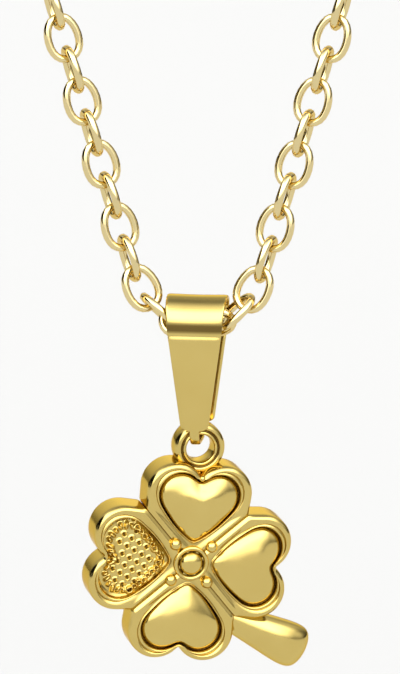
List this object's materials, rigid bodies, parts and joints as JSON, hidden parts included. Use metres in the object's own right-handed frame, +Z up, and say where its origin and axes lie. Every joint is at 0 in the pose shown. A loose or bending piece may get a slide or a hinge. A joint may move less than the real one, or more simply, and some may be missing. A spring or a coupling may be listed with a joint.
{
  "type": "four leaf clover pendant necklace",
  "caption": "Gold-coloured four leaf clover pendant with domed heart leaves, swinging on a folded strip bail that runs on a fine cable chain necklace.",
  "frame": {"origin": "the nape of the neck, at the middle of the clasp, where the worn necklace rests on its wearer", "axes": "+Z up, front is -Y where the pendant hangs, +X to the right as seen from the front"},
  "size_m": [0.1022, 0.1042, 0.1906],
  "materials": {
    "chain_gold": "polished gold plate on brass",
    "clasp_gold": "polished gold plate on brass",
    "bail_gold": "polished gold plate on brass",
    "clover_gold": "polished gold plate on brass, darker in the sunk lines"
  },
  "bodies": {
    "root": {"chain_left": "chain_gold", "chain_right": "chain_gold", "clasp": "clasp_gold"},
    "bail": {"bail": "bail_gold"},
    "clover": {"clover": "clover_gold"}
  },
  "joints": [
    {"name": "bail_swing", "type": "hinge", "parent": "root", "child": "bail", "pos_m": [0, -0.1, -0.164], "axis": [0.9914, -0.1305, 0], "range_deg": [-90, 90]},
    {"name": "clover_swing", "type": "hinge", "parent": "bail", "child": "clover", "pos_m": [0.00002, -0.1, -0.17238], "axis": [0.2358, -0.9688, -0.0762], "range_deg": [-50, 50]}
  ]
}
